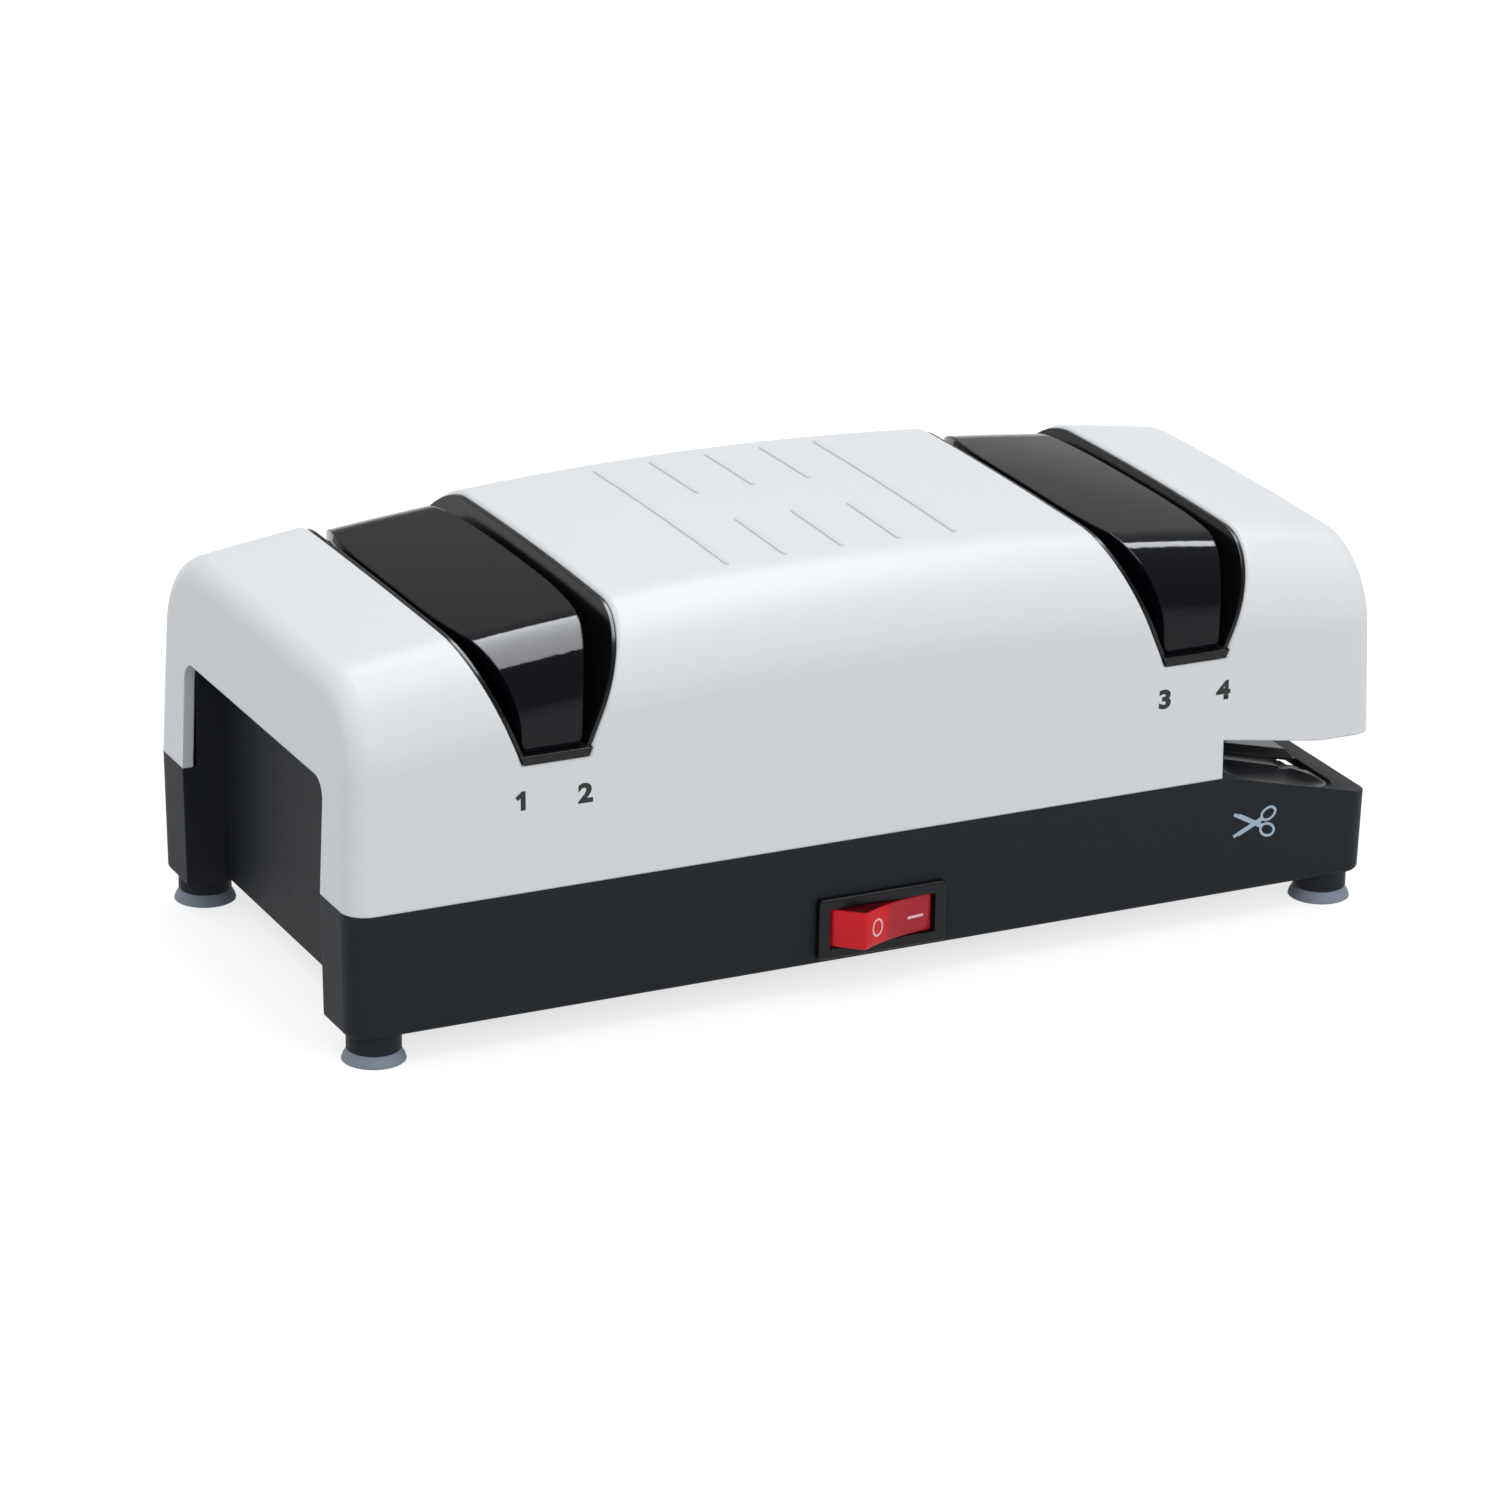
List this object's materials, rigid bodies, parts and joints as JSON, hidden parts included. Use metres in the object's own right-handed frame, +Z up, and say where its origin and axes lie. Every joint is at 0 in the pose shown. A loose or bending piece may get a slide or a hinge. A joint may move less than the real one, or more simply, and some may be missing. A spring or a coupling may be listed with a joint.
{
  "type": "electric knife sharpener",
  "caption": "Free-standing electric knife sharpener: motor-driven floating abrasive discs under angled blade slots, a scissor station at one end and a lit rocker switch in front.",
  "frame": {"origin": "centre of the footprint on the table, under the middle of the machine", "axes": "+X along the machine from the coarse stage to the scissor station, -Y towards the user at the switch side, +Z up"},
  "size_m": [0.2498, 0.1241, 0.0953],
  "materials": {
    "cover_white": "gloss",
    "base_black": "satin",
    "trim_black": "gloss",
    "inner_black": "satin",
    "red_lens": "translucent gloss",
    "foot_grey": "matte",
    "coarse_abrasive": "grit",
    "fine_abrasive": "fine grit",
    "hub_nylon": "satin",
    "steel": "ground",
    "bronze": "sintered",
    "can_zinc": "zinc plated",
    "magnet_grey": "ferrite",
    "lamination": "stamped",
    "copper": "enamelled",
    "carbon": "carbon",
    "board_green": "solder mask"
  },
  "bodies": {
    "housing": {"top_cover": "cover_white", "base_housing": "base_black", "scissor_guide": "base_black", "coarse_slot_liner": "trim_black", "fine_slot_liner": "trim_black", "coarse_guide": "trim_black", "fine_guide": "trim_black", "coarse_guide_magnet": "magnet_grey", "fine_guide_magnet": "magnet_grey", "shaft_bracket_left": "inner_black", "shaft_bracket_right": "base_black", "shaft_bush_left": "bronze", "shaft_bush_right": "bronze", "motor_can": "can_zinc", "motor_end_bell": "inner_black", "motor_bushes": "bronze", "motor_magnets": "magnet_grey", "brushes": "carbon", "brush_holders": "bronze", "motor_cradle": "inner_black", "motor_straps": "steel", "strap_screws": "steel", "cover_screws": "steel", "control_board": "board_green", "board_components": "inner_black", "switch_body": "trim_black", "switch_terminals": "bronze", "cord_bushing": "inner_black", "foot_front_left": "foot_grey", "foot_front_right": "foot_grey", "foot_back_left": "foot_grey", "foot_back_right": "foot_grey"},
    "rotor": {"motor_shaft": "steel", "disc_clips": "steel", "scissor_disc": "fine_abrasive", "disc_nut": "steel", "cooling_fan": "hub_nylon", "armature_core": "lamination", "armature_windings": "copper", "commutator": "copper", "coarse_disc_spring": "steel", "fine_disc_spring": "steel"},
    "coarse_wheel_left": {"coarse_disc_left": "coarse_abrasive", "coarse_hub_left": "hub_nylon"},
    "coarse_wheel_right": {"coarse_disc_right": "coarse_abrasive", "coarse_hub_right": "hub_nylon"},
    "fine_wheel_left": {"fine_disc_left": "fine_abrasive", "fine_hub_left": "hub_nylon"},
    "fine_wheel_right": {"fine_disc_right": "fine_abrasive", "fine_hub_right": "hub_nylon"},
    "rocker": {"rocker": "red_lens"}
  },
  "joints": [
    {"name": "shaft_spin", "type": "hinge", "parent": "housing", "child": "rotor", "pos_m": [0, 0, 0.042], "axis": [1, 0, 0], "continuous": true},
    {"name": "coarse_float_left", "type": "slide", "parent": "rotor", "child": "coarse_wheel_left", "axis": [1, 0, 0], "range_m": [0, 0.0011], "stiffness_N_per_m": 800, "springref_m": -0.002, "deforming": ["coarse_disc_spring"]},
    {"name": "coarse_float_right", "type": "slide", "parent": "rotor", "child": "coarse_wheel_right", "axis": [-1, 0, 0], "range_m": [0, 0.0011], "stiffness_N_per_m": 800, "springref_m": -0.002, "deforming": ["coarse_disc_spring"]},
    {"name": "fine_float_left", "type": "slide", "parent": "rotor", "child": "fine_wheel_left", "axis": [1, 0, 0], "range_m": [0, 0.0011], "stiffness_N_per_m": 800, "springref_m": -0.002, "deforming": ["fine_disc_spring"]},
    {"name": "fine_float_right", "type": "slide", "parent": "rotor", "child": "fine_wheel_right", "axis": [-1, 0, 0], "range_m": [0, 0.0011], "stiffness_N_per_m": 800, "springref_m": -0.002, "deforming": ["fine_disc_spring"]},
    {"name": "rocker_tilt", "type": "hinge", "parent": "housing", "child": "rocker", "pos_m": [0, -0.05614, 0.0156], "axis": [0, 0, -1], "range_deg": [0, 22]}
  ]
}
